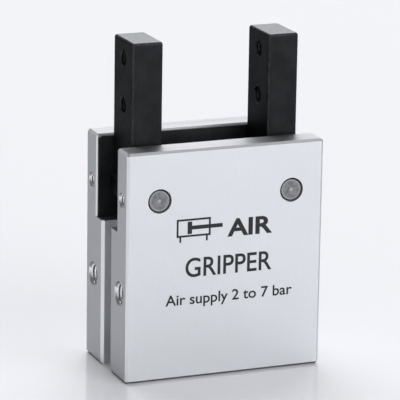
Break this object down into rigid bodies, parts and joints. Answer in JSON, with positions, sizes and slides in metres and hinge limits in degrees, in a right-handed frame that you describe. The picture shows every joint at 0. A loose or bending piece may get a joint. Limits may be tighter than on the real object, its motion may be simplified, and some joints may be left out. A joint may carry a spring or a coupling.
{
  "type": "angular pneumatic gripper",
  "caption": "Compact angular air gripper: a rectangular housing with a finger slot across its top, two upright pivoting fingers, side ports and switch grooves.",
  "frame": {"origin": "middle of the base, the face the gripper stands on and is bolted by", "axes": "+Z towards the fingertips, X across the fingers with the air ports on -X, -Y is the marked front face"},
  "size_m": [0.044, 0.0244, 0.071],
  "materials": {
    "anodised_aluminium": "satin clear anodised, finely brushed upright",
    "plain_aluminium": "turned",
    "black_steel": "black oxide, satin",
    "ground_steel": "ground, with turned ends",
    "screw_steel": "black screws and circlip",
    "bronze": "sintered",
    "rubber": "matt nitrile",
    "bumper_rubber": "urethane",
    "ring_plastic": "bearing resin",
    "magnet": "bonded magnet"
  },
  "bodies": {
    "gripper_body": {"housing": "anodised_aluminium", "liner_front": "black_steel", "liner_rear": "black_steel", "pivot_pin_left": "ground_steel", "pivot_pin_right": "ground_steel", "pin_lock_screws": "screw_steel", "rod_bush": "bronze", "rod_seal": "rubber", "seal_retainer": "ground_steel", "cylinder_cap": "plain_aluminium", "cap_o_ring": "rubber", "retaining_ring": "screw_steel", "bumper_upper": "bumper_rubber", "bumper_lower": "bumper_rubber"},
    "left_finger": {"finger_left": "black_steel", "pivot_bush_left": "bronze"},
    "right_finger": {"finger_right": "black_steel", "pivot_bush_right": "bronze"},
    "piston_unit": {"piston": "plain_aluminium", "piston_rod": "ground_steel", "piston_seal": "rubber", "wear_ring": "ring_plastic", "magnet_ring": "magnet", "rod_o_ring": "rubber", "piston_screw": "screw_steel", "crosshead": "black_steel", "crosshead_cheek_front": "black_steel", "crosshead_cheek_rear": "black_steel", "cheek_rivets": "ground_steel", "crosshead_screw": "screw_steel", "roller_pins": "ground_steel"},
    "left_roller": {"roller_left": "ground_steel"},
    "right_roller": {"roller_right": "ground_steel"}
  },
  "joints": [
    {"name": "left_finger_swing", "type": "hinge", "parent": "gripper_body", "child": "left_finger", "pos_m": [-0.0148, 0, 0.039], "axis": [0, -1, 0], "range_deg": [-10, 30]},
    {"name": "right_finger_swing", "type": "hinge", "parent": "gripper_body", "child": "right_finger", "pos_m": [0.0148, 0, 0.039], "axis": [0, 1, 0], "range_deg": [-10, 30]},
    {"name": "piston_slide", "type": "slide", "parent": "gripper_body", "child": "piston_unit", "axis": [0, 0, 1], "range_m": [-0.0018, 0.0054]},
    {"name": "left_roller_spin", "type": "hinge", "parent": "piston_unit", "child": "left_roller", "pos_m": [-0.0048, 0, 0.0372], "axis": [0, 1, 0], "continuous": true},
    {"name": "right_roller_spin", "type": "hinge", "parent": "piston_unit", "child": "right_roller", "pos_m": [0.0048, 0, 0.0372], "axis": [0, 1, 0], "continuous": true}
  ],
  "couplings": [
    {"joint": "right_finger_swing", "follows": "left_finger_swing", "ratio": 1},
    {"joint": "piston_slide", "follows": "left_finger_swing", "m_per_rad": 0.0103}
  ]
}
